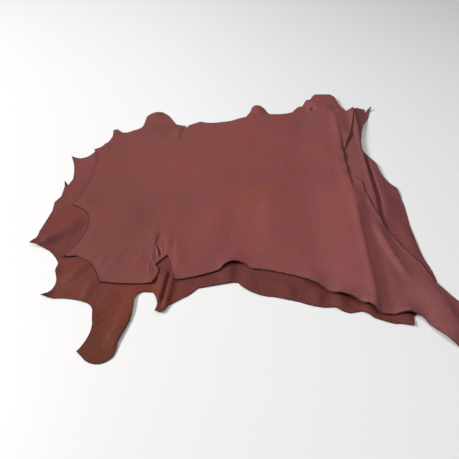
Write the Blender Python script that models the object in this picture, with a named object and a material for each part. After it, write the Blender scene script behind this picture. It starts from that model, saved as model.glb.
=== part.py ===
# Sheepskin leather: one dyed garment skin, doubled over on itself and lying on a table, grain side up.
# The lower layer rests on the table and the upper layer lies on it. They join in one turned-over fold
# at the far right corner. Every other edge is the skin's own cut edge, with hollows between its points.
#
# Metres, +Z up, x to the right, y away from the viewer. The tables are in millimetres, measured on the
# table from one datum in front of the leather. The finished part stands with the bottom centre of its
# box at the origin.
import math
from collections import namedtuple

import bpy
import numpy as np
from mathutils import Vector
from mathutils.geometry import delaunay_2d_cdt

# Driving sizes
MM = 0.001
THICKNESS = 0.0012  # of the leather
LAYER_GAP = 0.0030  # clear space between the layers where they lie flat
COVER_GROWTH = 1.15  # the upper layer bridges the lower one's ridges a little higher
TURN_RADIUS = 0.0060  # of the doubled-over fold, to the middle of the leather
TURN_STEPS = 6  # facets round that fold
RIM_REACH = 0.12  # how far around that fold the upper layer is raised
SETTLE_NEAR = 0.006  # past the lower layer's edge the upper one starts to come down here
SETTLE_FAR = 0.050  # and lies on the table from here
STEEPEST = 2.0  # slope up to which the leather keeps its full thickness

# How finely the layers are divided
EDGE_STEP = 0.013  # along the cut edges
FACET = 0.025  # between the points inside
FOLD_STEP = 0.013  # along the crests and feet of the folds
CLEAR_OF_EDGE = 0.55  # share of FACET that the inside points keep from the edge
CLEAR_OF_FOLD = 0.55  # and from the points of the folds

# Colour and finish of the grain side
GRAIN_COLOUR = (0.215, 0.062, 0.055, 1.0)
GRAIN_ROUGHNESS = 0.48

# A corner of a layer's outline, and how far the edge from it to the next one bows out (or in, below 0)
Corner = namedtuple("Corner", "x y bow")

# A fold: its crest runs from x0, y0 to x1, y1 and bows to the right of that way. It is as high as
# rise, falls to nothing over left and right, and fades in and out over a share of its length.
Fold = namedtuple("Fold", "x0 y0 x1 y1 bow rise left right fade")

# A raised spot of an edge or corner: how high it stands, and how far around it the leather lifts
Lift = namedtuple("Lift", "x y rise reach")

# Where the two layers join: the doubled-over fold, from its right end to its left end
TURN = (Corner(328, 1082, 0), Corner(280, 1082, 3))

UPPER_OUTLINE = (
    # left side, from the far corner to the near one
    Corner(-381, 814, 0),
    Corner(-365, 782, -11),
    Corner(-384, 600, -5),
    Corner(-335, 567, -18),
    Corner(-366, 446, 0),
    Corner(-334, 449, -12),
    # near side, with the notch beside the tab below it
    Corner(-271, 384, 3),
    Corner(-160, 381, 3),
    Corner(-151, 417, 0),
    Corner(-159, 427, 0),
    Corner(-136, 452, -2),
    Corner(-115, 388, 3),
    Corner(-20, 413, -17),
    Corner(46, 416, 0),
    Corner(75, 413, -1),
    Corner(147, 395, 0),
    Corner(181, 376, 0),
    Corner(202, 360, 1),
    Corner(248, 344, 2),
    Corner(272, 330, -1),
    Corner(289, 313, 2),
    Corner(337, 313, 0),
    Corner(361, 311, -3),
    # the right leg
    Corner(381, 291, 1),
    Corner(419, 250, 0),
    Corner(439, 228, 5),
    Corner(499, 273, 0),
    Corner(485, 322, 0),
    Corner(457, 343, -2),
    # right side
    Corner(427, 381, 0),
    Corner(410, 432, 0),
    Corner(387, 468, 0),
    Corner(360, 532, 0),
    Corner(341, 599, -1),
    Corner(336, 667, 0),
    Corner(315, 703, -2),
    Corner(314, 780, -3),
    Corner(348, 867, 1),
    Corner(370, 942, 0),
    Corner(379, 979, 0),
    Corner(382, 994, 0),
    Corner(359, 987, -2),
    Corner(343, 1058, 4),
    *TURN,
    # far side, with two tabs and a narrow nick
    Corner(262, 1058, 0),
    Corner(255, 1049, 0),
    Corner(246, 1050, 0),
    Corner(229, 1021, 0),
    Corner(224, 1027, 2),
    Corner(197, 995, -6),
    Corner(125, 988, 0),
    Corner(112, 1012, 28),
    Corner(66, 1004, 0),
    Corner(50, 972, 2),
    Corner(5, 951, -9),
    Corner(-89, 951, 0),
    Corner(-122, 930, 0),
    Corner(-135, 896, 0),
    Corner(-131, 926, 0),
    Corner(-162, 937, 0),
    Corner(-183, 973, 3),
    Corner(-210, 998, 5),
    Corner(-256, 975, 0),
    Corner(-260, 933, -5),
    Corner(-283, 906, -12),
    Corner(-332, 906, 0),
    Corner(-344, 899, -4),
    Corner(-351, 841, -5),
)

LOWER_OUTLINE = (
    # left side, from the far corner to the near one
    Corner(-378, 806, -15),
    Corner(-436, 783, -3),
    Corner(-412, 713, -4),
    Corner(-415, 672, 0),
    Corner(-424, 681, 0),
    Corner(-421, 632, 0),
    Corner(-432, 612, 0),
    Corner(-429, 584, -1),
    Corner(-439, 521, -2),
    Corner(-444, 480, 0),
    Corner(-422, 476, 0),
    Corner(-400, 465, -2),
    Corner(-370, 433, 0),
    Corner(-368, 411, 0),
    Corner(-361, 392, -4),
    Corner(-368, 359, 0),
    Corner(-379, 352, 0),
    Corner(-354, 347, -4),
    # the left leg
    Corner(-282, 336, -3),
    Corner(-268, 316, 0),
    Corner(-262, 292, -5),
    Corner(-279, 240, 0),
    Corner(-259, 223, 9),
    Corner(-211, 229, 2),
    Corner(-206, 257, 0),
    Corner(-191, 300, 1),
    Corner(-190, 341, -5),
    Corner(-176, 362, 0),
    Corner(-156, 361, -2),
    # the pointed tab and the near side
    Corner(-143, 335, 0),
    Corner(-146, 319, 0),
    Corner(-136, 315, 2),
    Corner(-120, 332, 0),
    Corner(-96, 347, 2),
    Corner(-65, 370, 0),
    Corner(6, 384, 0),
    Corner(18, 383, 3),
    Corner(52, 359, 2),
    Corner(88, 351, 0),
    Corner(141, 339, 2),
    Corner(190, 327, 0),
    Corner(209, 328, 2),
    Corner(236, 315, 0),
    Corner(258, 319, -2),
    Corner(280, 306, 1),
    Corner(318, 293, -2),
    Corner(351, 288, 0),
    Corner(357, 306, 0),
    # under the upper layer's leg
    Corner(367, 318, 0),
    Corner(398, 330, 0),
    Corner(422, 356, 0),
    # right side
    Corner(430, 384, 2),
    Corner(425, 430, -1),
    Corner(420, 478, 0),
    Corner(421, 540, 3),
    Corner(427, 635, 0),
    Corner(425, 662, 0),
    Corner(408, 683, -4),
    Corner(396, 745, -3),
    Corner(376, 815, -10),
    Corner(417, 948, 2),
    Corner(439, 997, 0),
    Corner(450, 1020, 1),
    Corner(434, 1008, -1),
    Corner(424, 995, 0),
    Corner(428, 1013, 0),
    Corner(400, 1011, 0),
    Corner(378, 991, 0),
    Corner(354, 997, 0),
    *TURN,
    # far side, hidden under the upper layer
    Corner(244, 1025, 0),
    Corner(188, 975, 0),
    Corner(32, 938, 0),
    Corner(-117, 893, 0),
    Corner(-277, 874, 0),
    Corner(-336, 832, 0),
)

LOWER_FOLDS = (
    Fold(354, 490, 391, 1080, -8, 14, 90, 11, 0.25),  # the long ridge beside the upper layer's right edge
    Fold(383, 826, 395, 1060, 0, 11, 32, 42, 0.30),  # which is broader at its far end
    Fold(377, 536, 382, 830, 0, 9, 9, 52, 0.32),  # the slope between it and the right edge
    Fold(412, 440, 404, 560, 0, 5, 26, 18, 0.40),
    Fold(-438, 468, -338, 562, 2, 8, 34, 26, 0.30),  # ridge towards the left point
    Fold(-452, 462, -388, 508, 2, 4, 14, 9, 0.35),
    Fold(-224, 222, -188, 380, 6, 4, 26, 14, 0.30),  # down the left leg
    Fold(-298, 330, -276, 400, 0, 4, 16, 14, 0.45),
    Fold(-352, 372, -292, 446, 0, 4, 18, 14, 0.45),
    Fold(-144, 322, -131, 424, 0, 8, 20, 8, 0.30),  # the two folds of the pointed tab
    Fold(-131, 312, -119, 408, 0, 7, 8, 14, 0.30),
    Fold(-10, 374, 6, 440, 0, 6, 30, 20, 0.40),  # waves of the near edge
    Fold(32, 355, 48, 420, 0, 3, 18, 24, 0.40),
    Fold(112, 335, 128, 390, 0, 4, 26, 20, 0.40),
    Fold(170, 322, 186, 380, 0, 4, 22, 18, 0.40),
    Fold(212, 316, 224, 370, 0, 6, 16, 30, 0.40),
    Fold(268, 306, 282, 352, 0, 5, 18, 22, 0.40),
    Fold(338, 288, 352, 330, 0, 4, 26, 14, 0.40),
)

LOWER_LIFTS = (
    Lift(-444, 480, 10, 26),
    Lift(-379, 352, 7, 26),
    Lift(-424, 683, 9, 16),
    Lift(-439, 786, 4, 30),
    Lift(-368, 412, 4, 18),
    Lift(-266, 300, 3, 26),
    Lift(-140, 316, 6, 20),
    Lift(353, 288, 4, 26),
    Lift(450, 1021, 8, 26),
    Lift(427, 650, 4, 34),
    Lift(304, 1082, 0.6, 60),  # the doubled-over fold springs a little
)

UPPER_FOLDS = (
    Fold(299, 600, 311, 900, 2, 9, 125, 12, 0.33),  # the long ridge down the right side, middle part
    Fold(285, 285, 303, 699, 0, 14, 110, 38, 0.24),  # near part, with a broader right side
    Fold(320, 320, 332, 580, 0, 5, 30, 50, 0.30),  # whose slope runs on to the edge
    Fold(306, 800, 320, 1044, 0, 14, 110, 46, 0.40),  # and far part, with the flap beside it
    Fold(380, 372, 334, 556, -8, 5, 14, 32, 0.30),  # the small ridge on that side
    Fold(440, 236, 392, 410, 8, 9, 64, 22, 0.30),  # down the right leg
    Fold(246, 1034, 324, 1000, -7, 7, 20, 62, 0.30),  # the rim before the doubled-over fold
    Fold(-166, 430, -170, 548, 0, 2, 22, 6, 0.40),  # either side of the crease above the notch
    Fold(-134, 440, -142, 530, 0, 2, 10, 18, 0.40),
    Fold(-112, 392, -118, 506, 0, 2, 10, 30, 0.40),
    Fold(-337, 800, -355, 846, 0, 3, 16, 6, 0.40),
    Fold(-152, 840, -142, 930, 0, 3, 24, 7, 0.40),  # beside the crease of the far nick
    Fold(-280, 470, -205, 640, 0, 3, 60, 60, 0.45),  # broad waves
    Fold(-40, 430, -20, 620, 0, 3, 60, 45, 0.45),
    Fold(88, 400, 112, 680, 0, 4, 50, 90, 0.45),
)

UPPER_LIFTS = (
    Lift(8, 428, 6, 46),
    Lift(172, 382, 6, 40),
    Lift(236, 350, 5, 36),
    Lift(281, 322, 2, 36),
    Lift(352, 312, 7, 36),
    Lift(404, 268, 5, 40),
    Lift(-160, 384, 3, 22),
    Lift(-232, 990, 5, 40),
    Lift(90, 1018, 6, 34),
    Lift(250, 1045, 6, 26),
    Lift(345, 862, 5, 26),
    Lift(-340, 902, 5, 26),
    Lift(262, 1000, -3, 14),  # crumpled spots before the doubled-over fold
    Lift(330, 985, -2, 12),
    Lift(316, 706, -4, 26),  # where the right edge lies close on the lower layer's ridge
    Lift(318, 752, -4, 30),
    Lift(322, 800, -3, 26),
    Lift(336, 636, -3, 32),
    Lift(346, 578, -2, 28),
)


def edge_points(corners, step):
    """The outline's points, each bowed stretch as a smooth curve in steps of about this length."""
    points = []
    for a, b in zip(corners, corners[1:] + corners[:1]):
        start, end = np.array((a.x, a.y)) * MM, np.array((b.x, b.y)) * MM
        along = end - start
        length = float(np.hypot(*along))
        outward = np.array((along[1], -along[0])) / length
        count = max(1, round(length / step))
        for i in range(count):
            t = i / count
            points.append(start + along * t + outward * (4 * a.bow * MM * t * (1 - t)))
    return np.array(points)


def bell(distance, reach):
    """1 at the middle and 0 from reach on, with level ends."""
    share = np.clip(np.abs(distance) / reach, 0, 1)
    return (1 + np.cos(math.pi * share)) / 2


def ramp(share):
    """From 0 to 1, level at both ends."""
    share = np.clip(share, 0, 1)
    return share * share * (3 - 2 * share)


def fold_height(points, fold):
    """How high one fold lifts each point."""
    start, end = np.array((fold.x0, fold.y0)) * MM, np.array((fold.x1, fold.y1)) * MM
    length = float(np.hypot(*(end - start)))
    way = (end - start) / length
    share = (points - start) @ way / length
    rightward = (points - start) @ np.array((way[1], -way[0]))
    inside = np.clip(share, 0, 1)
    rightward = rightward - 4 * fold.bow * MM * inside * (1 - inside)
    reach = np.where(rightward > 0, fold.right, fold.left) * MM
    ends = ramp(share / fold.fade) * ramp((1 - share) / fold.fade)
    return fold.rise * MM * bell(rightward, reach) * ends


def relief(points, folds, lifts):
    """The height that a layer's folds and lifted edges give each point."""
    height = np.zeros(len(points))
    for fold in folds:
        height += fold_height(points, fold)
    for lift in lifts:
        away = np.hypot(points[:, 0] - lift.x * MM, points[:, 1] - lift.y * MM)
        height += lift.rise * MM * bell(away, lift.reach * MM)
    return height


def edge_distance(points, outline):
    """How far each point is from an outline, and whether it lies inside it."""
    nearest = np.full(len(points), np.inf)
    inside = np.zeros(len(points), bool)
    for a, b in zip(outline, np.roll(outline, -1, axis=0)):
        along = b - a
        share = np.clip(((points - a) @ along) / max(along @ along, 1e-18), 0, 1)
        nearest = np.minimum(nearest, np.hypot(*(points - a - share[:, None] * along).T))
        crosses = (a[1] > points[:, 1]) != (b[1] > points[:, 1])
        if crosses.any():
            x_cross = a[0] + (points[:, 1] - a[1]) * along[0] / (along[1] or 1e-18)
            inside ^= crosses & (points[:, 0] < x_cross)
    return nearest, inside


def lower_underside(points):
    """The height of the lower layer's underside: on the table but for its folds."""
    return relief(points, LOWER_FOLDS, LOWER_LIFTS)


def upper_underside(points, lower_outline):
    """The same for the upper layer: over the lower one, and down on the table past its edge."""
    distance, inside = edge_distance(points, lower_outline)
    outside = np.where(inside, 0, distance)
    covers = 1 - ramp((outside - SETTLE_NEAR) / (SETTLE_FAR - SETTLE_NEAR))
    carried = THICKNESS + LAYER_GAP + COVER_GROWTH * lower_underside(points)
    turn = np.array([(c.x, c.y) for c in TURN]) * MM
    from_turn = np.hypot(points[:, 0] - turn[:, 0].mean(), points[:, 1] - turn[:, 1].mean())
    rim = (2 * TURN_RADIUS - THICKNESS - LAYER_GAP) * bell(from_turn, RIM_REACH)
    return covers * carried + rim + relief(points, UPPER_FOLDS, UPPER_LIFTS)


def slope(height, points):
    """How steep a layer is at each point."""
    small = 0.0005
    dx = height(points + (small, 0)) - height(points - (small, 0))
    dy = height(points + (0, small)) - height(points - (0, small))
    return np.hypot(dx, dy) / (2 * small)


def fold_points(folds):
    """Points along each fold's crest and its two feet, which keep its shape in coarse facets."""
    points = []
    for fold in folds:
        start, end = np.array((fold.x0, fold.y0)) * MM, np.array((fold.x1, fold.y1)) * MM
        length = float(np.hypot(*(end - start)))
        way = (end - start) / length
        rightward = np.array((way[1], -way[0]))
        count = max(2, round(length / FOLD_STEP))
        sides = (-fold.left, 0, fold.right)
        for side in sides if min(fold.left, fold.right) * MM < FACET else (0,):
            for i in range(count + 1):
                t = i / count
                sideways = (side + 4 * fold.bow * t * (1 - t)) * MM
                points.append(start + way * length * t + rightward * sideways)
    return np.array(points)


def thinned(points, spacing, others):
    """The points that keep this distance from each other and from the others."""
    kept = list(others)
    first = len(kept)
    for point in points:
        if not kept or np.hypot(*(np.array(kept) - point).T).min() > spacing:
            kept.append(point)
    return np.array(kept[first:])


def inside_points(outline, folds):
    """Points over a layer's area: those of its folds, and an even grid between them."""
    low, high = outline.min(axis=0), outline.max(axis=0)
    row_step = FACET * math.sqrt(3) / 2
    grid = []
    for row in range(int((high[1] - low[1]) / row_step) + 1):
        for column in range(int((high[0] - low[0]) / FACET) + 1):
            grid.append(low + ((column + 0.5 * (row % 2)) * FACET, row * row_step))
    crest = thinned(fold_points(folds), EDGE_STEP * CLEAR_OF_FOLD, [])
    distance, inside = edge_distance(crest, outline)
    crest = crest[inside & (distance > EDGE_STEP * CLEAR_OF_EDGE)]
    grid = np.array(grid)
    distance, inside = edge_distance(grid, outline)
    grid = grid[inside & (distance > FACET * CLEAR_OF_EDGE)]
    return np.vstack([crest, thinned(grid, FACET * CLEAR_OF_FOLD, crest)])


def triangulated(outline, inner):
    """The layer's points in plan, with the outline's first, and its triangles, counter-clockwise."""
    points = [Vector(p) for p in outline] + [Vector(p) for p in inner]
    loop = list(range(len(outline)))
    found, _, faces, sources, _, _ = delaunay_2d_cdt(points, [], [loop], 1, 1e-7)
    if len(found) != len(points):
        raise ValueError("an outline crosses itself or has two points in one place")
    place = {i: source[0] for i, source in enumerate(sources)}
    return np.vstack([outline, inner]), [[place[i] for i in face] for face in faces]


class Sheet:
    """The middle of the leather: points, the way and distance to its grain side, and faces."""

    def __init__(self):
        self.points, self.offsets, self.faces = [], [], []

    def add_layer(self, plan, underside, triangles, grain_up):
        """Adds a layer, whose first side is up or down, and returns the number of its first point."""
        first = len(self.points)
        side = 1 if grain_up else -1
        half = THICKNESS / 2 * np.sqrt(1 + np.minimum(slope(underside, plan), STEEPEST) ** 2)
        for (x, y), z, reach in zip(plan, underside(plan), half):
            self.points.append(np.array((x, y, z + reach)))
            self.offsets.append(np.array((0, 0, side * reach)))
        for triangle in triangles:
            self.faces.append([first + i for i in (triangle if grain_up else triangle[::-1])])
        return first

    def add_turn(self, upper, lower):
        """Joins two rows of points, one above the other, by the doubled-over fold."""
        rows = [upper]
        for step in range(1, TURN_STEPS):
            angle = math.pi * step / TURN_STEPS
            way = np.array((0, math.sin(angle), math.cos(angle)))
            rows.append([])
            for above, below in zip(upper, lower):
                middle = (self.points[above] + self.points[below]) / 2
                rows[-1].append(len(self.points))
                self.points.append(middle + way * TURN_RADIUS)
                self.offsets.append(way * THICKNESS / 2)
        rows.append(lower)
        for near, far in zip(rows, rows[1:]):
            for i in range(len(near) - 1):
                self.faces.append([near[i + 1], near[i], far[i], far[i + 1]])

    def thickened(self):
        """The closed solid's points and faces: both sides, and the walls along the cut edges."""
        points = [p + o for p, o in zip(self.points, self.offsets)]
        points += [p - o for p, o in zip(self.points, self.offsets)]
        under = len(self.points)
        faces = [list(face) for face in self.faces]
        faces += [[under + i for i in reversed(face)] for face in self.faces]
        ways = {(a, b) for face in self.faces for a, b in zip(face, face[1:] + face[:1])}
        for a, b in ways:
            if (b, a) not in ways:
                faces.append([b, a, under + a, under + b])
        return points, faces


def turn_rows(outline):
    """The numbers of the outline's points along the doubled-over fold, from right to left."""
    right, left = (np.array((c.x, c.y)) * MM for c in TURN)
    on_line = np.abs(outline[:, 1] - right[1]) < 1e-6
    between = (outline[:, 0] < right[0] + 1e-6) & (outline[:, 0] > left[0] - 1e-6)
    found = np.flatnonzero(on_line & between)
    return found[np.argsort(-outline[found, 0])]


def leather_sheet():
    """Both layers and the fold that joins them."""
    upper_edge = edge_points(UPPER_OUTLINE, EDGE_STEP)
    lower_edge = edge_points(LOWER_OUTLINE, EDGE_STEP)
    sheet = Sheet()

    lower_plan, lower_faces = triangulated(lower_edge, inside_points(lower_edge, LOWER_FOLDS))
    lower_first = sheet.add_layer(lower_plan, lower_underside, lower_faces, grain_up=False)

    folds = UPPER_FOLDS + LOWER_FOLDS
    upper_plan, upper_faces = triangulated(upper_edge, inside_points(upper_edge, folds))
    upper_first = sheet.add_layer(
        upper_plan, lambda p: upper_underside(p, lower_edge), upper_faces, grain_up=True
    )

    lower_row = [lower_first + i for i in turn_rows(lower_edge)]
    upper_row = [upper_first + i for i in turn_rows(upper_edge)]
    for above, below in zip(upper_row, lower_row):
        sheet.points[above][2] = sheet.points[below][2] + 2 * TURN_RADIUS
        sheet.offsets[above] = np.array((0, 0, THICKNESS / 2))
        sheet.offsets[below] = np.array((0, 0, -THICKNESS / 2))
    sheet.add_turn(upper_row, lower_row)
    return sheet


def centred(points):
    """The points moved so that the bottom centre of their box is the origin."""
    points = np.array(points)
    low, high = points.min(axis=0), points.max(axis=0)
    middle = (low + high) / 2
    return points - (middle[0], middle[1], low[2])


def leather_material():
    material = bpy.data.materials.new("red_brown_leather")
    material.use_nodes = True
    shader = material.node_tree.nodes["Principled BSDF"]
    shader.inputs["Base Color"].default_value = GRAIN_COLOUR
    shader.inputs["Roughness"].default_value = GRAIN_ROUGHNESS
    shader.inputs["Metallic"].default_value = 0.0
    return material


def build():
    for thing in list(bpy.data.objects):
        bpy.data.objects.remove(thing)
    points, faces = leather_sheet().thickened()
    mesh = bpy.data.meshes.new("leather")
    mesh.from_pydata([tuple(p) for p in centred(points)], [], faces)
    mesh.validate()
    mesh.shade_smooth()
    mesh.materials.append(leather_material())
    leather = bpy.data.objects.new("leather", mesh)
    bpy.context.scene.collection.objects.link(leather)
    return leather


build()
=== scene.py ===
# The leather's looks: the doubled-over skin as a fine mesh on the same folds as its solid, with its
# grain side, flesh side and cut edge, on a pale floor under soft studio light.
#
# Metres. The tables are in millimetres, measured on the table from one datum in front of the
# leather, and the first ones are the solid's own.
import math
from collections import namedtuple

import bpy
import numpy as np
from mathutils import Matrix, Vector, noise
from mathutils.geometry import delaunay_2d_cdt


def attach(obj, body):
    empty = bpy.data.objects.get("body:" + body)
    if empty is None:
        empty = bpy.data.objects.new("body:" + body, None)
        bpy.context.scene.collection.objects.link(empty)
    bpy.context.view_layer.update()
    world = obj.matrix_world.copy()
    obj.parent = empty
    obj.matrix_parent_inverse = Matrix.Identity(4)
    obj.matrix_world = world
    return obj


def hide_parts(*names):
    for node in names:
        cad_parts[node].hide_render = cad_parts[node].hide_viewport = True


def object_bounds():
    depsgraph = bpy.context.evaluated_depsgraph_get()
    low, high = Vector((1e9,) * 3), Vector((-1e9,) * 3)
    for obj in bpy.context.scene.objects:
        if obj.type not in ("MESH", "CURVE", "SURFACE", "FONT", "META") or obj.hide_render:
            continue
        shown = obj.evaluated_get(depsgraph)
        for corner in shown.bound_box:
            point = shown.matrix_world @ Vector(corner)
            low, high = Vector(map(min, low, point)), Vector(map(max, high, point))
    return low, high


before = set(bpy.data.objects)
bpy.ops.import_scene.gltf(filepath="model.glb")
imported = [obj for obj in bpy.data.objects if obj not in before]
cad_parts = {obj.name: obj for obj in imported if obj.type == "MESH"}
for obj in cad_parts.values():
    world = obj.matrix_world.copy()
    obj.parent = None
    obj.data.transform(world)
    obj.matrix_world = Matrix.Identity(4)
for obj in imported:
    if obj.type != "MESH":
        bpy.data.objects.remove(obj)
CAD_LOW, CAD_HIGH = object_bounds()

# Driving sizes, as in the solid
MM = 0.001
THICKNESS = 0.0012  # of the leather
LAYER_GAP = 0.0030  # clear space between the layers where they lie flat
COVER_GROWTH = 1.15  # the upper layer bridges the lower one's ridges a little higher
TURN_RADIUS = 0.0060  # of the doubled-over fold, to the middle of the leather
TURN_STEPS = 18  # facets round that fold
RIM_REACH = 0.12  # how far around that fold the upper layer is raised
SETTLE_NEAR = 0.006  # past the lower layer's edge the upper one starts to come down here
SETTLE_FAR = 0.050  # and lies on the table from here
STEEPEST = 2.0  # slope up to which the leather keeps its full thickness

# The skin's materials, by number
UPPER_GRAIN, LOWER_GRAIN, FLESH, CUT = range(4)

# How finely the layers are divided
EDGE_STEP = 0.0035  # along the cut edges
FACET = 0.0062  # between the points inside; half of that on steep folds and a quarter at details
CLEAR_OF_EDGE = 0.6  # share of EDGE_STEP that the inside points keep from the edge
STEEP = 0.55  # a fold that rises by more than this share of its narrower side is steep
CREST_BAND = 6  # millimetres past the crest that are divided finely too
HALF_ROOT_3 = math.sqrt(3) / 2  # a row of the grid is this much of a step further than the last one
SLOPE_STEP = 0.0005  # over which a slope is measured
SAME_PLACE = 1e-6  # points closer than this are in one place
MERGE = 1e-7  # and the triangulation makes one of those closer than this
NO_LENGTH = 1e-18  # stands for a length of nothing in a division

# A corner of a layer's outline, and how far the edge from it to the next one bows out
# (or in, below 0)
Corner = namedtuple("Corner", "x y bow")

# A fold: its crest runs from x0, y0 to x1, y1 and bows to the right of that way. It is as high as
# rise, falls to nothing over left and right, and fades in and out over a share of its length.
Fold = namedtuple("Fold", "x0 y0 x1 y1 bow rise left right fade")

# A raised spot of an edge or corner: how high it stands, and how far around it the leather lifts
Lift = namedtuple("Lift", "x y rise reach")

# A round place where the mesh is finest
Detail = namedtuple("Detail", "x y reach")

# Where the two layers join: the doubled-over fold, from its right end to its left end
TURN = (Corner(328, 1082, 0), Corner(280, 1082, 3))

UPPER_OUTLINE = (
    # left side, from the far corner to the near one
    Corner(-381, 814, 0),
    Corner(-365, 782, -11),
    Corner(-384, 600, -5),
    Corner(-335, 567, -18),
    Corner(-366, 446, 0),
    Corner(-334, 449, -12),
    # near side, with the notch beside the tab below it
    Corner(-271, 384, 3),
    Corner(-160, 381, 3),
    Corner(-151, 417, 0),
    Corner(-159, 427, 0),
    Corner(-136, 452, -2),
    Corner(-115, 388, 3),
    Corner(-20, 413, -17),
    Corner(46, 416, 0),
    Corner(75, 413, -1),
    Corner(147, 395, 0),
    Corner(181, 376, 0),
    Corner(202, 360, 1),
    Corner(248, 344, 2),
    Corner(272, 330, -1),
    Corner(289, 313, 2),
    Corner(337, 313, 0),
    Corner(361, 311, -3),
    # the right leg
    Corner(381, 291, 1),
    Corner(419, 250, 0),
    Corner(439, 228, 5),
    Corner(499, 273, 0),
    Corner(485, 322, 0),
    Corner(457, 343, -2),
    # right side
    Corner(427, 381, 0),
    Corner(410, 432, 0),
    Corner(387, 468, 0),
    Corner(360, 532, 0),
    Corner(341, 599, -1),
    Corner(336, 667, 0),
    Corner(315, 703, -2),
    Corner(314, 780, -3),
    Corner(348, 867, 1),
    Corner(370, 942, 0),
    Corner(379, 979, 0),
    Corner(382, 994, 0),
    Corner(359, 987, -2),
    Corner(343, 1058, 4),
    *TURN,
    # far side, with two tabs and a narrow nick
    Corner(262, 1058, 0),
    Corner(255, 1049, 0),
    Corner(246, 1050, 0),
    Corner(229, 1021, 0),
    Corner(224, 1027, 2),
    Corner(197, 995, -6),
    Corner(125, 988, 0),
    Corner(112, 1012, 28),
    Corner(66, 1004, 0),
    Corner(50, 972, 2),
    Corner(5, 951, -9),
    Corner(-89, 951, 0),
    Corner(-122, 930, 0),
    Corner(-135, 896, 0),
    Corner(-131, 926, 0),
    Corner(-162, 937, 0),
    Corner(-183, 973, 3),
    Corner(-210, 998, 5),
    Corner(-256, 975, 0),
    Corner(-260, 933, -5),
    Corner(-283, 906, -12),
    Corner(-332, 906, 0),
    Corner(-344, 899, -4),
    Corner(-351, 841, -5),
)

LOWER_OUTLINE = (
    # left side, from the far corner to the near one
    Corner(-378, 806, -15),
    Corner(-436, 783, -3),
    Corner(-412, 713, -4),
    Corner(-415, 672, 0),
    Corner(-424, 681, 0),
    Corner(-421, 632, 0),
    Corner(-432, 612, 0),
    Corner(-429, 584, -1),
    Corner(-439, 521, -2),
    Corner(-444, 480, 0),
    Corner(-422, 476, 0),
    Corner(-400, 465, -2),
    Corner(-370, 433, 0),
    Corner(-368, 411, 0),
    Corner(-361, 392, -4),
    Corner(-368, 359, 0),
    Corner(-379, 352, 0),
    Corner(-354, 347, -4),
    # the left leg
    Corner(-282, 336, -3),
    Corner(-268, 316, 0),
    Corner(-262, 292, -5),
    Corner(-279, 240, 0),
    Corner(-259, 223, 9),
    Corner(-211, 229, 2),
    Corner(-206, 257, 0),
    Corner(-191, 300, 1),
    Corner(-190, 341, -5),
    Corner(-176, 362, 0),
    Corner(-156, 361, -2),
    # the pointed tab and the near side
    Corner(-143, 335, 0),
    Corner(-146, 319, 0),
    Corner(-136, 315, 2),
    Corner(-120, 332, 0),
    Corner(-96, 347, 2),
    Corner(-65, 370, 0),
    Corner(6, 384, 0),
    Corner(18, 383, 3),
    Corner(52, 359, 2),
    Corner(88, 351, 0),
    Corner(141, 339, 2),
    Corner(190, 327, 0),
    Corner(209, 328, 2),
    Corner(236, 315, 0),
    Corner(258, 319, -2),
    Corner(280, 306, 1),
    Corner(318, 293, -2),
    Corner(351, 288, 0),
    Corner(357, 306, 0),
    # under the upper layer's leg
    Corner(367, 318, 0),
    Corner(398, 330, 0),
    Corner(422, 356, 0),
    # right side
    Corner(430, 384, 2),
    Corner(425, 430, -1),
    Corner(420, 478, 0),
    Corner(421, 540, 3),
    Corner(427, 635, 0),
    Corner(425, 662, 0),
    Corner(408, 683, -4),
    Corner(396, 745, -3),
    Corner(376, 815, -10),
    Corner(417, 948, 2),
    Corner(439, 997, 0),
    Corner(450, 1020, 1),
    Corner(434, 1008, -1),
    Corner(424, 995, 0),
    Corner(428, 1013, 0),
    Corner(400, 1011, 0),
    Corner(378, 991, 0),
    Corner(354, 997, 0),
    *TURN,
    # far side, hidden under the upper layer
    Corner(244, 1025, 0),
    Corner(188, 975, 0),
    Corner(32, 938, 0),
    Corner(-117, 893, 0),
    Corner(-277, 874, 0),
    Corner(-336, 832, 0),
)

LOWER_FOLDS = (
    Fold(354, 490, 391, 1080, -8, 14, 90, 11, 0.25),  # the long ridge by the upper right edge
    Fold(383, 826, 395, 1060, 0, 11, 32, 42, 0.30),  # which is broader at its far end
    Fold(377, 536, 382, 830, 0, 9, 9, 52, 0.32),  # the slope between it and the right edge
    Fold(412, 440, 404, 560, 0, 5, 26, 18, 0.40),
    Fold(-438, 468, -338, 562, 2, 8, 34, 26, 0.30),  # ridge towards the left point
    Fold(-452, 462, -388, 508, 2, 4, 14, 9, 0.35),
    Fold(-224, 222, -188, 380, 6, 4, 26, 14, 0.30),  # down the left leg
    Fold(-298, 330, -276, 400, 0, 4, 16, 14, 0.45),
    Fold(-352, 372, -292, 446, 0, 4, 18, 14, 0.45),
    Fold(-144, 322, -131, 424, 0, 8, 20, 8, 0.30),  # the two folds of the pointed tab
    Fold(-131, 312, -119, 408, 0, 7, 8, 14, 0.30),
    Fold(-10, 374, 6, 440, 0, 6, 30, 20, 0.40),  # waves of the near edge
    Fold(32, 355, 48, 420, 0, 3, 18, 24, 0.40),
    Fold(112, 335, 128, 390, 0, 4, 26, 20, 0.40),
    Fold(170, 322, 186, 380, 0, 4, 22, 18, 0.40),
    Fold(212, 316, 224, 370, 0, 6, 16, 30, 0.40),
    Fold(268, 306, 282, 352, 0, 5, 18, 22, 0.40),
    Fold(338, 288, 352, 330, 0, 4, 26, 14, 0.40),
)

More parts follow.
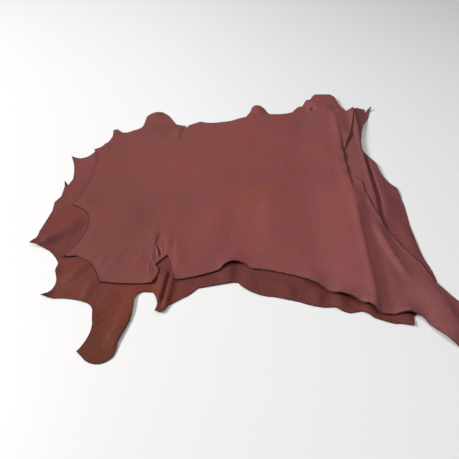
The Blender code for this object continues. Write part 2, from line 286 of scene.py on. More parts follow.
LOWER_LIFTS = (
    Lift(-444, 480, 10, 26),
    Lift(-379, 352, 7, 26),
    Lift(-424, 683, 9, 16),
    Lift(-439, 786, 4, 30),
    Lift(-368, 412, 4, 18),
    Lift(-266, 300, 3, 26),
    Lift(-140, 316, 6, 20),
    Lift(353, 288, 4, 26),
    Lift(450, 1021, 8, 26),
    Lift(427, 650, 4, 34),
    Lift(304, 1082, 0.6, 60),  # the doubled-over fold springs a little
)

UPPER_FOLDS = (
    Fold(299, 600, 311, 900, 2, 9, 125, 12, 0.33),  # the long ridge down the right, middle part
    Fold(285, 285, 303, 699, 0, 14, 110, 38, 0.24),  # near part, with a broader right side
    Fold(320, 320, 332, 580, 0, 5, 30, 50, 0.30),  # whose slope runs on to the edge
    Fold(306, 800, 320, 1044, 0, 14, 110, 46, 0.40),  # and far part, with the flap beside it
    Fold(380, 372, 334, 556, -8, 5, 14, 32, 0.30),  # the small ridge on that side
    Fold(440, 236, 392, 410, 8, 9, 64, 22, 0.30),  # down the right leg
    Fold(246, 1034, 324, 1000, -7, 7, 20, 62, 0.30),  # the rim before the doubled-over fold
    Fold(-166, 430, -170, 548, 0, 2, 22, 6, 0.40),  # either side of the crease above the notch
    Fold(-134, 440, -142, 530, 0, 2, 10, 18, 0.40),
    Fold(-112, 392, -118, 506, 0, 2, 10, 30, 0.40),
    Fold(-337, 800, -355, 846, 0, 3, 16, 6, 0.40),
    Fold(-152, 840, -142, 930, 0, 3, 24, 7, 0.40),  # beside the crease of the far nick
    Fold(-280, 470, -205, 640, 0, 3, 60, 60, 0.45),  # broad waves
    Fold(-40, 430, -20, 620, 0, 3, 60, 45, 0.45),
    Fold(88, 400, 112, 680, 0, 4, 50, 90, 0.45),
)

UPPER_LIFTS = (
    Lift(8, 428, 6, 46),
    Lift(172, 382, 6, 40),
    Lift(236, 350, 5, 36),
    Lift(281, 322, 2, 36),
    Lift(352, 312, 7, 36),
    Lift(404, 268, 5, 40),
    Lift(-160, 384, 3, 22),
    Lift(-232, 990, 5, 40),
    Lift(90, 1018, 6, 34),
    Lift(250, 1045, 6, 26),
    Lift(345, 862, 5, 26),
    Lift(-340, 902, 5, 26),
    Lift(262, 1000, -3, 14),  # crumpled spots before the doubled-over fold
    Lift(330, 985, -2, 12),
    Lift(316, 706, -4, 26),  # where the right edge lies close on the lower layer's ridge
    Lift(318, 752, -4, 30),
    Lift(322, 800, -3, 26),
    Lift(336, 636, -3, 32),
    Lift(346, 578, -2, 28),
)

# Fine relief that only the looks need: a wrinkle is a narrow fold, and puckers are several of
# them side by side
FINE_UPPER = (
    Fold(-225, 682, -360, 670, 0, 1.6, 26, 5, 0.4),  # a faint crease across the left
    Fold(-300, 395, -255, 470, 2, 1.4, 7, 10, 0.4),  # streaks from the near left corner
    Fold(-318, 430, -262, 500, 3, 1.2, 8, 12, 0.4),
    Fold(-270, 400, -215, 520, 3, 1.4, 9, 16, 0.4),
    Fold(-214, 396, -180, 500, 2, 1.2, 8, 14, 0.4),
    Fold(-162, 474, -152, 532, 0, -1.8, 6, 8, 0.45),  # the faint crease above the notch
    Fold(-149, 444, -161, 478, 2, -3.0, 3.5, 3.0, 0.25),  # and the sharp one that runs into it
    Fold(-154, 440, -166, 482, 2, 2.0, 4, 3.5, 0.35),  # puckers beside it
    Fold(-163, 428, -171, 462, 0, 1.4, 3, 3, 0.4),
    Fold(-168, 396, -172, 440, 0, 1.5, 3.5, 3.0, 0.4),
    Fold(-162, 390, -166, 424, 0, 1.0, 2.5, 2.5, 0.4),
    Fold(-128, 440, -114, 480, 0, 1.1, 3, 3.5, 0.4),
    Fold(-124, 434, -100, 462, 0, 0.9, 2.5, 3, 0.4),
    Fold(-118, 470, -106, 500, 0, 0.8, 3, 3, 0.4),
    Fold(-362, 846, -340, 815, 0, 1.0, 5, 5, 0.4),
    Fold(312, 850, 318, 1010, 0, 3.0, 16, 7, 0.3),  # the sharper crest of the far right flap
    Fold(254, 984, 268, 1030, 0, -2.2, 5, 7, 0.4),  # crumples at the far right corner
    Fold(236, 994, 262, 1010, 0, 1.6, 5, 6, 0.4),
    Fold(318, 964, 326, 1008, 0, -2.4, 5, 8, 0.4),
    Fold(285, 275, 303, 640, 0, 3.4, 16, 8, 0.25),  # the sharper crest of the long ridge
    Fold(380, 372, 334, 556, -8, 2.4, 7, 10, 0.35),  # and of the one beside it
)

FINE_LOWER = (
    Fold(-345, 382, -299, 432, 0, 1.8, 5, 8, 0.4),  # streaks at the left
    Fold(-330, 372, -282, 398, 0, 1.3, 5, 7, 0.4),
    Fold(-273, 341, -272, 382, 0, 1.6, 5, 6, 0.4),
    Fold(-425, 560, -408, 600, 0, 1.6, 6, 6, 0.4),
    Fold(-432, 530, -402, 566, 0, 1.3, 6, 6, 0.4),
    Fold(-238, 240, -205, 330, 3, 1.3, 6, 8, 0.4),
    Fold(-222, 236, -196, 300, 2, 1.2, 5, 7, 0.4),
    Fold(-392, 466, -352, 500, 0, 1.2, 5, 6, 0.4),
    Fold(355, 549, 389, 1062, -6, 3.2, 12, 4.5, 0.2),  # the sharper crest of the right ridge
)

UPPER_DETAILS = (
    Detail(-148, 448, 56),  # the notch and its puckers
    Detail(270, 1000, 40),  # the crumples at the far right corner
)

# Unevenness all over: heights and lengths, and a seed for each use of the noise
WAVE = 0.0009
WAVE_LENGTH = 0.13
WAVE_SEED = 7.0
EDGE_CURL = 0.0014  # how far the cut edges lift
EDGE_CURL_REACH = 0.012
EDGE_CURL_LENGTH = 0.045
CURL_BIAS = 0.4  # above 0, more of the edge lifts than lies flat
UPPER_CURL_SEED = 5.0
LOWER_CURL_SEED = 3.0
EDGE_DROP = 0.0015  # the upper layer's edge sinks towards the lower one
EDGE_DROP_REACH = 0.022


def edge_points(corners, step):
    """The outline's points, each bowed stretch as a smooth curve in steps of about this length."""
    points = []
    for a, b in zip(corners, corners[1:] + corners[:1]):
        start, end = np.array((a.x, a.y)) * MM, np.array((b.x, b.y)) * MM
        along = end - start
        length = float(np.hypot(*along))
        outward = np.array((along[1], -along[0])) / length
        count = max(1, round(length / step))
        for i in range(count):
            t = i / count
            points.append(start + along * t + outward * (4 * a.bow * MM * t * (1 - t)))
    return np.array(points)


def bell(distance, reach):
    """1 at the middle and 0 from reach on, with level ends."""
    share = np.clip(np.abs(distance) / reach, 0, 1)
    return (1 + np.cos(math.pi * share)) / 2


def ramp(share):
    """From 0 to 1, level at both ends."""
    share = np.clip(share, 0, 1)
    return share * share * (3 - 2 * share)


def beside_fold(points, fold):
    """Each point's share of the way along a fold, and how far to the right of its crest it lies."""
    start, end = np.array((fold.x0, fold.y0)) * MM, np.array((fold.x1, fold.y1)) * MM
    length = float(np.hypot(*(end - start)))
    way = (end - start) / length
    share = (points - start) @ way / length
    inside = np.clip(share, 0, 1)
    rightward = (points - start) @ np.array((way[1], -way[0]))
    return share, rightward - 4 * fold.bow * MM * inside * (1 - inside)


def fold_height(points, fold):
    """How high one fold lifts each point."""
    share, rightward = beside_fold(points, fold)
    reach = np.where(rightward > 0, fold.right, fold.left) * MM
    ends = ramp(share / fold.fade) * ramp((1 - share) / fold.fade)
    return fold.rise * MM * bell(rightward, reach) * ends


def relief(points, folds, lifts=()):
    """The height that a layer's folds and lifted edges give each point."""
    height = np.zeros(len(points))
    for fold in folds:
        height += fold_height(points, fold)
    for lift in lifts:
        away = np.hypot(points[:, 0] - lift.x * MM, points[:, 1] - lift.y * MM)
        height += lift.rise * MM * bell(away, lift.reach * MM)
    return height


def edge_distance(points, outline):
    """How far each point is from an outline, and whether it lies inside it."""
    nearest = np.full(len(points), np.inf)
    inside = np.zeros(len(points), bool)
    for a, b in zip(outline, np.roll(outline, -1, axis=0)):
        along = b - a
        share = np.clip(((points - a) @ along) / max(along @ along, NO_LENGTH), 0, 1)
        nearest = np.minimum(nearest, np.hypot(*(points - a - share[:, None] * along).T))
        crosses = (a[1] > points[:, 1]) != (b[1] > points[:, 1])
        if crosses.any():
            x_cross = a[0] + (points[:, 1] - a[1]) * along[0] / (along[1] or NO_LENGTH)
            inside ^= crosses & (points[:, 0] < x_cross)
    return nearest, inside


def near_turn(points):
    """From 1 in the middle of the doubled-over fold to 0 at RIM_REACH from it."""
    turn = np.array([(c.x, c.y) for c in TURN]) * MM
    away = np.hypot(points[:, 0] - turn[:, 0].mean(), points[:, 1] - turn[:, 1].mean())
    return bell(away, RIM_REACH)


def lower_underside(points):
    """The height of the lower layer's underside: on the table but for its folds."""
    return relief(points, LOWER_FOLDS, LOWER_LIFTS)


def upper_underside(points, lower_outline):
    """The same for the upper layer: over the lower one, and down on the table past its edge."""
    distance, inside = edge_distance(points, lower_outline)
    outside = np.where(inside, 0, distance)
    covers = 1 - ramp((outside - SETTLE_NEAR) / (SETTLE_FAR - SETTLE_NEAR))
    carried = THICKNESS + LAYER_GAP + COVER_GROWTH * lower_underside(points)
    rim = (2 * TURN_RADIUS - THICKNESS - LAYER_GAP) * near_turn(points)
    return covers * carried + rim + relief(points, UPPER_FOLDS, UPPER_LIFTS)


def slope(height, points):
    """How steep a layer is at each point."""
    dx = height(points + (SLOPE_STEP, 0)) - height(points - (SLOPE_STEP, 0))
    dy = height(points + (0, SLOPE_STEP)) - height(points - (0, SLOPE_STEP))
    return np.hypot(dx, dy) / (2 * SLOPE_STEP)


def near_steep(points, folds):
    """Which points lie on or beside the steep side of a fold."""
    near = np.zeros(len(points), bool)
    for fold in folds:
        if fold.rise < STEEP * min(fold.left, fold.right):
            continue
        share, rightward = beside_fold(points, fold)
        low = -(fold.left if fold.left < fold.right else CREST_BAND) * MM - FACET / 2
        high = (fold.right if fold.right <= fold.left else CREST_BAND) * MM + FACET / 2
        near |= (share > 0) & (share < 1) & (rightward > low) & (rightward < high)
    return near


def near_details(points, details):
    """Which points lie in the places where the mesh is finest."""
    near = np.zeros(len(points), bool)
    for detail in details:
        away = np.hypot(points[:, 0] - detail.x * MM, points[:, 1] - detail.y * MM)
        near |= away < detail.reach * MM
    return near


def inside_points(outline, folds, details=()):
    """A grid over a layer's area: FACET apart, half that on steep folds, a quarter at details."""
    low, high = outline.min(axis=0), outline.max(axis=0)
    step = FACET / 4
    row_count = int((high[1] - low[1]) / (step * HALF_ROOT_3)) + 1
    column_count = int((high[0] - low[0]) / step) + 2
    row = np.repeat(np.arange(row_count), column_count)
    column = np.tile(np.arange(column_count), row_count) - row // 2
    grid = low + np.column_stack([(column + row / 2) * step, row * step * HALF_ROOT_3])

    whole = (row % 4 == 0) & (column % 4 == 0)
    half = (row % 2 == 0) & (column % 2 == 0)
    grid = grid[whole | (half & near_steep(grid, folds)) | near_details(grid, details)]
    distance, inside = edge_distance(grid, outline)
    return grid[inside & (distance > EDGE_STEP * CLEAR_OF_EDGE)]


def triangulated(outline, inner):
    """The layer's points in plan, the outline's first, and its triangles, counter-clockwise."""
    points = [Vector(p) for p in outline] + [Vector(p) for p in inner]
    loop = list(range(len(outline)))
    found, _, faces, sources, _, _ = delaunay_2d_cdt(points, [], [loop], 1, MERGE)
    if len(found) != len(points):
        raise ValueError("an outline crosses itself or has two points in one place")
    place = {i: source[0] for i, source in enumerate(sources)}
    return np.vstack([outline, inner]), [[place[i] for i in face] for face in faces]


class Sheet:
    """The middle of the leather: points, the way and distance to its grain side, and faces."""

    def __init__(self):
        self.points, self.offsets, self.faces = [], [], []
        self.sides = []  # the material of each face on its first side and on its other one
        self.edge = set()  # the points of the cut edges

    def add_layer(self, plan, underside, triangles, grain_up, extra):
        """Adds a layer with its grain up or down, and returns the number of its first point."""
        first = len(self.points)
        side = 1 if grain_up else -1
        half = THICKNESS / 2 * np.sqrt(1 + np.minimum(slope(underside, plan), STEEPEST) ** 2)
        for (x, y), z, reach in zip(plan, underside(plan) + extra, half):
            self.points.append(np.array((x, y, z + reach)))
            self.offsets.append(np.array((0, 0, side * reach)))
        for triangle in triangles:
            self.faces.append([first + i for i in (triangle if grain_up else triangle[::-1])])
            self.sides.append((UPPER_GRAIN, FLESH) if grain_up else (FLESH, LOWER_GRAIN))
        return first

    def add_turn(self, upper, lower):
        """Joins two rows of points, one above the other, by the doubled-over fold."""
        rows = [upper]
        for step in range(1, TURN_STEPS):
            angle = math.pi * step / TURN_STEPS
            way = np.array((0, math.sin(angle), math.cos(angle)))
            rows.append([])
            for above, below in zip(upper, lower):
                middle = (self.points[above] + self.points[below]) / 2
                rows[-1].append(len(self.points))
                self.points.append(middle + way * TURN_RADIUS)
                self.offsets.append(way * THICKNESS / 2)
        rows.append(lower)
        for near, far in zip(rows, rows[1:]):
            for i in range(len(near) - 1):
                self.faces.append([near[i + 1], near[i], far[i], far[i + 1]])
                self.sides.append((UPPER_GRAIN, FLESH))

    def thickened(self):
        """The closed skin's points, faces and materials: both sides and the cut edges' walls."""
        points = [p + o for p, o in zip(self.points, self.offsets)]
        points += [p - o for p, o in zip(self.points, self.offsets)]
        under = len(self.points)
        faces = [list(face) for face in self.faces]
        faces += [[under + i for i in reversed(face)] for face in self.faces]
        materials = [first for first, _ in self.sides] + [other for _, other in self.sides]
        ways = {(a, b) for face in self.faces for a, b in zip(face, face[1:] + face[:1])}
        for a, b in ways:
            if (b, a) not in ways:
                faces.append([b, a, under + a, under + b])
        materials += [CUT] * (len(faces) - len(materials))
        return points, faces, materials


def turn_row(outline):
    """The numbers of the outline's points along the doubled-over fold, from right to left."""
    right, left = (np.array((c.x, c.y)) * MM for c in TURN)
    on_line = np.abs(outline[:, 1] - right[1]) < SAME_PLACE
    between = (outline[:, 0] < right[0] + SAME_PLACE) & (outline[:, 0] > left[0] - SAME_PLACE)
    found = np.flatnonzero(on_line & between)
    return found[np.argsort(-outline[found, 0])]


def uneven(points, seed):
    """Broad, soft unevenness, between 0 and twice WAVE."""
    heights = [noise.noise(Vector((x / WAVE_LENGTH, y / WAVE_LENGTH, seed))) for x, y in points]
    return WAVE * (1 + np.array(heights))


def edge_curl(points, outline, seed):
    """How much the cut edge lifts off what it lies on, here more and there less."""
    distance, _ = edge_distance(points, outline)
    near = 1 - ramp(distance / EDGE_CURL_REACH)
    curl = np.zeros(len(points))
    for i in np.flatnonzero(near > 0):
        x, y = points[i] / EDGE_CURL_LENGTH
        curl[i] = EDGE_CURL * near[i] * max(0, CURL_BIAS + noise.noise(Vector((x, y, seed))))
    return curl


def edge_drop(points, outline):
    """How much the upper layer sinks near its cut edge, but not beside the doubled-over fold."""
    distance, _ = edge_distance(points, outline)
    return EDGE_DROP * (1 - ramp(distance / EDGE_DROP_REACH)) * (1 - near_turn(points))


def add_lower_layer(sheet, edge):
    """Adds the layer on the table and returns the number of its first point."""
    plan, faces = triangulated(edge, inside_points(edge, LOWER_FOLDS))
    extra = edge_curl(plan, edge, LOWER_CURL_SEED) + relief(plan, FINE_LOWER)
    return sheet.add_layer(plan, lower_underside, faces, grain_up=False, extra=extra)


def add_upper_layer(sheet, edge, lower_edge):
    """Adds the layer on top, nowhere below the table, and returns the number of its first point."""
    plan, faces = triangulated(edge, inside_points(edge, UPPER_FOLDS + LOWER_FOLDS, UPPER_DETAILS))
    extra = uneven(plan, WAVE_SEED) + edge_curl(plan, edge, UPPER_CURL_SEED)
    extra += relief(plan, FINE_UPPER) - edge_drop(plan, edge)
    extra = np.maximum(extra, -upper_underside(plan, lower_edge))
    return sheet.add_layer(
        plan, lambda p: upper_underside(p, lower_edge), faces, grain_up=True, extra=extra
    )


def leather_sheet():
    """Both layers and the fold that joins them."""
    upper_edge = edge_points(UPPER_OUTLINE, EDGE_STEP)
    lower_edge = edge_points(LOWER_OUTLINE, EDGE_STEP)
    sheet = Sheet()
    lower_first = add_lower_layer(sheet, lower_edge)
    upper_first = add_upper_layer(sheet, upper_edge, lower_edge)

    lower_row = [lower_first + i for i in turn_row(lower_edge)]
    upper_row = [upper_first + i for i in turn_row(upper_edge)]
    rises = lower_underside(np.array([sheet.points[i][:2] for i in lower_row]))
    for above, below, rise in zip(upper_row, lower_row, rises):
        sheet.points[below][2] = THICKNESS / 2 + rise
        sheet.points[above][2] = sheet.points[below][2] + 2 * TURN_RADIUS
        sheet.offsets[above] = np.array((0, 0, THICKNESS / 2))
        sheet.offsets[below] = np.array((0, 0, -THICKNESS / 2))
    sheet.add_turn(upper_row, lower_row)
    sheet.edge = set(range(lower_first, lower_first + len(lower_edge)))
    sheet.edge |= set(range(upper_first, upper_first + len(upper_edge)))
    sheet.edge -= set(upper_row + lower_row)
    return sheet


# From the tables' datum to the frame: the left-most point and the doubled-over fold are on the
# box's sides
DATUM = Vector(
    (
        CAD_LOW[0] - min(c.x for c in LOWER_OUTLINE) * MM,
        CAD_HIGH[1] - (TURN[0].y * MM + TURN_RADIUS + THICKNESS / 2),
        0,
    )
)
EDGE_SHARE = "edge_share"  # the mesh's attribute that is 1 along the cut edges and 0 inside them
SHARP_ANGLE = math.radians(60)  # faces that meet at more than this keep a hard edge


def leather_object():
    """The whole skin as one closed mesh, in the frame."""
    sheet = leather_sheet()
    points, faces, materials = sheet.thickened()
    cut = [float(i in sheet.edge) for i in range(len(sheet.points))] * 2
    mesh = bpy.data.meshes.new("leather_skin")
    mesh.from_pydata([Vector(p) + DATUM for p in points], [], faces)
    mesh.polygons.foreach_set("material_index", materials)
    mesh.attributes.new(EDGE_SHARE, "FLOAT", "POINT").data.foreach_set("value", cut)
    mesh.shade_smooth()
    mesh.set_sharp_from_angle(angle=SHARP_ANGLE)
    skin = bpy.data.objects.new("leather_skin", mesh)
    bpy.context.scene.collection.objects.link(skin)
    return skin


# A noise texture, whose scale is about how many of its features fit in a metre
Noise = namedtuple("Noise", "scale detail roughness", defaults=(0.5,))

# The grain side's dye. Each table of colours has them at values of its noise.
LEATHER_WIDTH = CAD_HIGH[0] - CAD_LOW[0]
CLOUD_NOISE = Noise(5.5, 3.0)
CLOUDS = ((0.32, (0.88, 0.93, 0.95)), (0.5, (1.0, 1.0, 1.0)), (0.68, (1.07, 1.0, 1.0)))
STREAK_WAY = math.radians(38)  # the way the hide was stretched, from +X
STREAK_LENGTH = 4.0  # how many times longer than wide
LEFT_FADE = 2.2  # how soon the streaks fade towards the right
LEFT_START = LEFT_FADE / 2 - 0.1  # and their share in the middle of the skin
PATCH_NOISE = Noise(16, 3.0)
PATCH_TINT = (1.05, 1.12, 0.60)  # warmer and browner
PATCHES = ((0.36, (1.0, 1.0, 1.0)), (0.5, (1.0, 1.0, 1.0)), (0.66, PATCH_TINT))
FLECK_NOISE = Noise(330, 2.0)
FLECKS = ((0.35, (0.86, 0.86, 0.86)), (0.65, (1.12, 1.12, 1.12)))
EDGE_COLOUR = (0.030, 0.008, 0.006)
EDGE_START = 0.7  # of EDGE_SHARE, from where on the edge is dark
EDGE_DARKNESS = 0.85

# The grain side's bump and gloss, with the bumps' heights in metres
CELL_SCALE = 620
CELL_WEIGHT = 0.5
CELL_NOISE = Noise(380, 3.0)
CELL_STRENGTH = 0.45
CELL_HEIGHT = 0.0005
SOFT_NOISE = Noise(38, 5.0, 0.6)
SOFT_STRENGTH = 0.25
SOFT_HEIGHT = 0.002
WRINKLE_NOISE = Noise(85, 2.0)
WRINKLE_HEIGHT = 0.004
WRINKLE_LEAST = 0.08  # their strength at the right
WRINKLED_NOISE = Noise(9, 1.0)
WRINKLED = ((0.44, (0, 0, 0)), (0.60, (1, 1, 1)))  # where the wrinkles lie
GLOSS_NOISE = Noise(60, 4.0)
GLOSS = ((0.3, (0.48, 0.48, 0.48)), (0.7, (0.60, 0.60, 0.60)))
GRAIN_SHEEN = 0.01
GRAIN_SHEEN_ROUGHNESS = 0.4

# A grain side: the way along which its colour drifts, the colours at shares of the skin's width
# along that way, the strength of the warmer patches and of the wrinkles, and how much it shines.
# That drift is partly the dye's own and partly painted light: painted shade at its darker, browner
# end and a painted pink sheen at its lighter, pinker end
Grain = namedtuple("Grain", "name way dyes patches wrinkles shine")
UPPER = Grain(
    "leather_grain",
    (1, 0),
    (
        # darker and browner at the left, partly the dye and partly painted shade; lighter and more
        # mauve at the right, partly the dye and partly a painted sheen
        (0.05, (0.150, 0.0385, 0.0330)),
        (0.50, (0.196, 0.0505, 0.0465)),
        (0.85, (0.194, 0.0560, 0.0570)),
    ),
    patches=0.55,
    wrinkles=0.22,
    shine=0.24,
)
LOWER = Grain(
    "leather_grain_lower",
    (0.2, 0.95),
    (
        # browner and darker towards the near left, partly the dye and partly painted shade; pinker
        # and lighter towards the far right ridge, partly the dye and partly a painted pink sheen
        (0.04, (0.112, 0.0235, 0.0105)),
        (0.17, (0.142, 0.0325, 0.0240)),
        (0.24, (0.128, 0.0300, 0.0280)),
        (0.65, (0.180, 0.0540, 0.0590)),
    ),
    patches=0.70,
    wrinkles=0.50,
    shine=0.16,
)

# A matt side: its two tones and their noise, its roughness, and the noise and height of its fibres
Matt = namedtuple("Matt", "name low high tones roughness fibres fibre_height")
FLESH_SIDE = Matt(
    "leather_flesh",
    low=(0.17, 0.070, 0.055),
    high=(0.23, 0.100, 0.080),
    tones=Noise(30, 4.0),
    roughness=0.85,
    fibres=Noise(700, 6.0, 0.65),
    fibre_height=0.0005,
)
CUT_SIDE = Matt(
    "leather_cut",
    low=(0.020, 0.006, 0.005),
    high=(0.042, 0.012, 0.010),
    tones=Noise(260, 4.0),
    roughness=0.75,
    fibres=Noise(900, 6.0, 0.65),
    fibre_height=0.0002,
)
MATT_TONES = (0.35, 0.65)  # the noise's values at the two tones
MATT_STRENGTH = 0.5
MATT_SHEEN = 0.25


def feed(tree, target, value):
    """Gives an input socket a value, or links it to a node's output socket."""
    if isinstance(value, bpy.types.NodeSocket):
        tree.links.new(value, target)
    else:
        target.default_value = value


def maths(tree, operation, *inputs):
    """A Math node on values or other nodes' outputs."""
    node = tree.nodes.new("ShaderNodeMath")
    node.operation = operation
    for socket, value in zip(node.inputs, inputs):
        feed(tree, socket, value)
    return node.outputs["Value"]


def noise_texture(tree, places, texture):
    """One of the Noise rows, at these places."""
    node = tree.nodes.new("ShaderNodeTexNoise")
    node.inputs["Scale"].default_value = texture.scale
    node.inputs["Detail"].default_value = texture.detail
    node.inputs["Roughness"].default_value = texture.roughness
    feed(tree, node.inputs["Vector"], places)
    return node.outputs[0]


def noise_colours(tree, places, texture, stops):
    """A noise texture turned into colours between the stops' ones."""
    return colours(tree, noise_texture(tree, places, texture), stops)


def colours(tree, value, stops):
    """Turns a value into a colour between the stops' ones."""
    node = tree.nodes.new("ShaderNodeValToRGB")
    elements = node.color_ramp.elements
    while len(elements) < len(stops):
        elements.new(0.5)
    for element, (place, colour) in zip(elements, stops):
        element.position = place
        element.color = (*colour, 1)
    feed(tree, node.inputs["Fac"], value)
    return node.outputs["Color"]


def mixed(tree, blend, factor, first, second):
    """Blends two colours; the Mix node's sockets go by number, as several have one name."""
    node = tree.nodes.new("ShaderNodeMix")
    node.data_type = "RGBA"
    node.blend_type = blend
    for number, value in ((0, factor), (6, first), (7, second)):
        feed(tree, node.inputs[number], value)
    return node.outputs[2]


def bumped(tree, texture, strength, height, normal=None):
    """A texture as a bump, on top of another one's normal where that is given."""
    node = tree.nodes.new("ShaderNodeBump")
    feed(tree, node.inputs["Strength"], strength)
    feed(tree, node.inputs["Distance"], height)
    feed(tree, node.inputs["Height"], texture)
    if normal:
        feed(tree, node.inputs["Normal"], normal)
    return node.outputs["Normal"]


def new_material(name):
    """A material, its node tree, its shader's inputs, and where its points are in the object."""
    material = bpy.data.materials.new(name)
    material.use_nodes = True
    tree = material.node_tree
    place = tree.nodes.new("ShaderNodeTexCoord").outputs["Object"]
    return material, tree, tree.nodes["Principled BSDF"].inputs, place


def drawn_out(tree, place):
    """Places in which a texture is drawn out along STREAK_WAY."""
    node = tree.nodes.new("ShaderNodeMapping")
    node.vector_type = "TEXTURE"
    node.inputs["Rotation"].default_value = (0, 0, STREAK_WAY)
    node.inputs["Scale"].default_value = (STREAK_LENGTH, 1.0, 1.0)
    feed(tree, node.inputs["Vector"], place)
    return node.outputs["Vector"]


def leftward_share(tree, place):
    """From 1 at the skin's left to 0 towards its right."""
    sides = tree.nodes.new("ShaderNodeSeparateXYZ")
    feed(tree, sides.inputs["Vector"], place)
    share = maths(tree, "MULTIPLY_ADD", sides.outputs["X"], -LEFT_FADE / LEATHER_WIDTH, LEFT_START)
    share.node.use_clamp = True
    return share


def dye_with_painted_light(tree, place, way, dyes):
    """The colour by how far along a way a point lies: partly the dye's own drift, partly painted
    shade at its darker end and a painted pink sheen at its pinker end.
    """
    along = tree.nodes.new("ShaderNodeVectorMath")
    along.operation = "DOT_PRODUCT"
    feed(tree, along.inputs[0], place)
    along.inputs[1].default_value = (*way, 0)
    share = maths(tree, "MULTIPLY_ADD", along.outputs["Value"], 1 / LEATHER_WIDTH, 0.5)
    return colours(tree, share, dyes)


def grain_colour(tree, place, drawn, leftward, grain):
    """The dye with its painted shade and painted sheen as it drifts, with its clouds, warmer
    patches and flecks, dark at the cut edge.
    """
    colour = dye_with_painted_light(tree, place, grain.way, grain.dyes)
    clouds = noise_colours(tree, place, CLOUD_NOISE, CLOUDS)
    colour = mixed(tree, "MULTIPLY", 1.0, colour, clouds)
    patches = noise_colours(tree, drawn, PATCH_NOISE, PATCHES)
    patch_share = maths(tree, "MULTIPLY", leftward, grain.patches)
    colour = mixed(tree, "MULTIPLY", patch_share, colour, patches)
    flecks = noise_colours(tree, place, FLECK_NOISE, FLECKS)
    colour = mixed(tree, "MULTIPLY", 1.0, colour, flecks)
    edge = tree.nodes.new("ShaderNodeAttribute")
    edge.attribute_name = EDGE_SHARE
    at_edge = maths(tree, "GREATER_THAN", edge.outputs["Fac"], EDGE_START)
    edge_share = maths(tree, "MULTIPLY", at_edge, EDGE_DARKNESS)
    return mixed(tree, "MIX", edge_share, colour, (*EDGE_COLOUR, 1))


def grain_normal(tree, place, drawn, leftward, grain):
    """The pebbled grain, a soft unevenness, and wrinkles in places, most of them at the left."""
    cells = tree.nodes.new("ShaderNodeTexVoronoi")
    cells.inputs["Scale"].default_value = CELL_SCALE
    feed(tree, cells.inputs["Vector"], place)
    between = noise_texture(tree, place, CELL_NOISE)
    pebbles = maths(tree, "MULTIPLY_ADD", cells.outputs["Distance"], CELL_WEIGHT, between)
    normal = bumped(tree, pebbles, CELL_STRENGTH, CELL_HEIGHT)
    soft = noise_texture(tree, place, SOFT_NOISE)
    normal = bumped(tree, soft, SOFT_STRENGTH, SOFT_HEIGHT, normal)
    wrinkled = noise_colours(tree, place, WRINKLED_NOISE, WRINKLED)
    wrinkles = maths(tree, "MULTIPLY", noise_texture(tree, drawn, WRINKLE_NOISE), wrinkled)
    strength = maths(tree, "MULTIPLY_ADD", leftward, grain.wrinkles, WRINKLE_LEAST)
    return bumped(tree, wrinkles, strength, WRINKLE_HEIGHT, normal)


def grain_material(grain):
    """A smooth side: dyed, with painted shade and a painted sheen in its colour, pebbled, wrinkled
    in places and softly glossy.
    """
    material, tree, shader, place = new_material(grain.name)
    drawn = drawn_out(tree, place)
    leftward = leftward_share(tree, place)
    feed(tree, shader["Base Color"], grain_colour(tree, place, drawn, leftward, grain))
    feed(tree, shader["Normal"], grain_normal(tree, place, drawn, leftward, grain))
    feed(tree, shader["Roughness"], noise_colours(tree, place, GLOSS_NOISE, GLOSS))
    shader["Specular IOR Level"].default_value = grain.shine
    shader["Sheen Weight"].default_value = GRAIN_SHEEN
    shader["Sheen Roughness"].default_value = GRAIN_SHEEN_ROUGHNESS
    return material


def matt_material(side):
    """The flesh side or the cut edge: two tones and a fibrous bump."""
    material, tree, shader, place = new_material(side.name)
    stops = tuple(zip(MATT_TONES, (side.low, side.high)))
    feed(tree, shader["Base Color"], noise_colours(tree, place, side.tones, stops))
    fibres = noise_texture(tree, place, side.fibres)
    feed(tree, shader["Normal"], bumped(tree, fibres, MATT_STRENGTH, side.fibre_height))
    shader["Roughness"].default_value = side.roughness
    shader["Sheen Weight"].default_value = MATT_SHEEN
    return material


# The studio: a pale floor just under the leather, and three round lights, in metres and watts
FLOOR_SIZE = 9
FLOOR_DROP = 0.0004
FLOOR_COLOUR = (0.77, 0.775, 0.78, 1)
FLOOR_ROUGHNESS = 0.55
Light = namedtuple("Light", "name place target size power colour")
LIGHTS = (
    Light("key", (-3.6, -0.1, 2.8), (0, 0, 0), 1.5, 226, (1.0, 0.975, 0.95)),
    Light("overhead", (0.6, -0.2, 2.6), (0.2, 0, 0), 2.4, 32, (1, 1, 1)),
    Light("window", (-0.6, 1.9, 1.7), (0, 0, 0), 1.2, 8, (0.96, 0.92, 1.0)),
)
WORLD_COLOUR = (1.0, 0.99, 0.98, 1)
WORLD_STRENGTH = 0.07

# The photograph's view: a wide lens this high over the datum, looking down by these degrees
IMAGE_WIDTH = 459
FOCAL_PIXELS = 360
SENSOR_MM = 36
VIEW_HEIGHT = 0.650
VIEW_DOWN = 51
NEAREST = 0.01  # to the camera that still shows


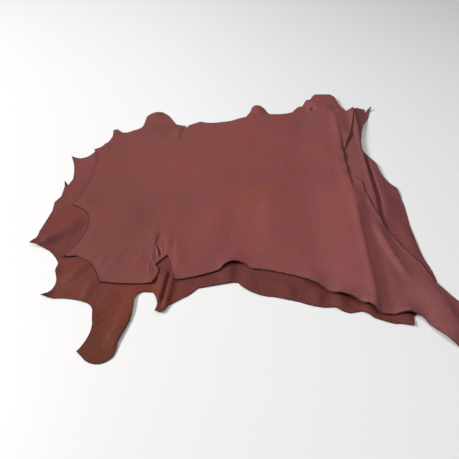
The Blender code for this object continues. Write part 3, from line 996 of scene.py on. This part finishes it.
def floor_object():
    """A plain pale floor under the leather."""
    bpy.ops.mesh.primitive_plane_add(size=FLOOR_SIZE, location=(0, 0, -FLOOR_DROP))
    floor = bpy.context.object
    floor.name = "floor"
    material = bpy.data.materials.new("floor_pale")
    material.use_nodes = True
    shader = material.node_tree.nodes["Principled BSDF"]
    shader.inputs["Base Color"].default_value = FLOOR_COLOUR
    shader.inputs["Roughness"].default_value = FLOOR_ROUGHNESS
    floor.data.materials.append(material)
    return floor


def light_object(light):
    """A round area light that faces its target."""
    data = bpy.data.lights.new(light.name, "AREA")
    data.shape = "DISK"
    data.size = light.size
    data.energy = light.power
    data.color = light.colour
    lamp = bpy.data.objects.new(light.name, data)
    lamp.location = light.place
    facing = Vector(light.target) - Vector(light.place)
    lamp.rotation_euler = facing.to_track_quat("-Z", "Y").to_euler()
    bpy.context.scene.collection.objects.link(lamp)


def studio():
    """The surroundings' faint light, the lights, and a plain view transform."""
    world = bpy.data.worlds.new("studio")
    world.use_nodes = True
    world.node_tree.nodes["Background"].inputs["Color"].default_value = WORLD_COLOUR
    world.node_tree.nodes["Background"].inputs["Strength"].default_value = WORLD_STRENGTH
    bpy.context.scene.world = world
    bpy.context.scene.view_settings.view_transform = "Standard"
    for light in LIGHTS:
        light_object(light)


def camera_object():
    """The photograph's camera, above the datum."""
    data = bpy.data.cameras.new("camera")
    data.sensor_width = SENSOR_MM
    data.lens = SENSOR_MM * FOCAL_PIXELS / IMAGE_WIDTH
    data.clip_start = NEAREST
    camera = bpy.data.objects.new("camera", data)
    camera.location = DATUM + Vector((0, 0, VIEW_HEIGHT))
    camera.rotation_euler = (math.radians(90 - VIEW_DOWN), 0, 0)
    bpy.context.scene.collection.objects.link(camera)
    bpy.context.scene.camera = camera


skin = leather_object()
# In the order of UPPER_GRAIN, LOWER_GRAIN, FLESH and CUT
for material in (
    grain_material(UPPER),
    grain_material(LOWER),
    matt_material(FLESH_SIDE),
    matt_material(CUT_SIDE),
):
    skin.data.materials.append(material)
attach(skin, "root")
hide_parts("leather")
floor_object()
studio()
camera_object()
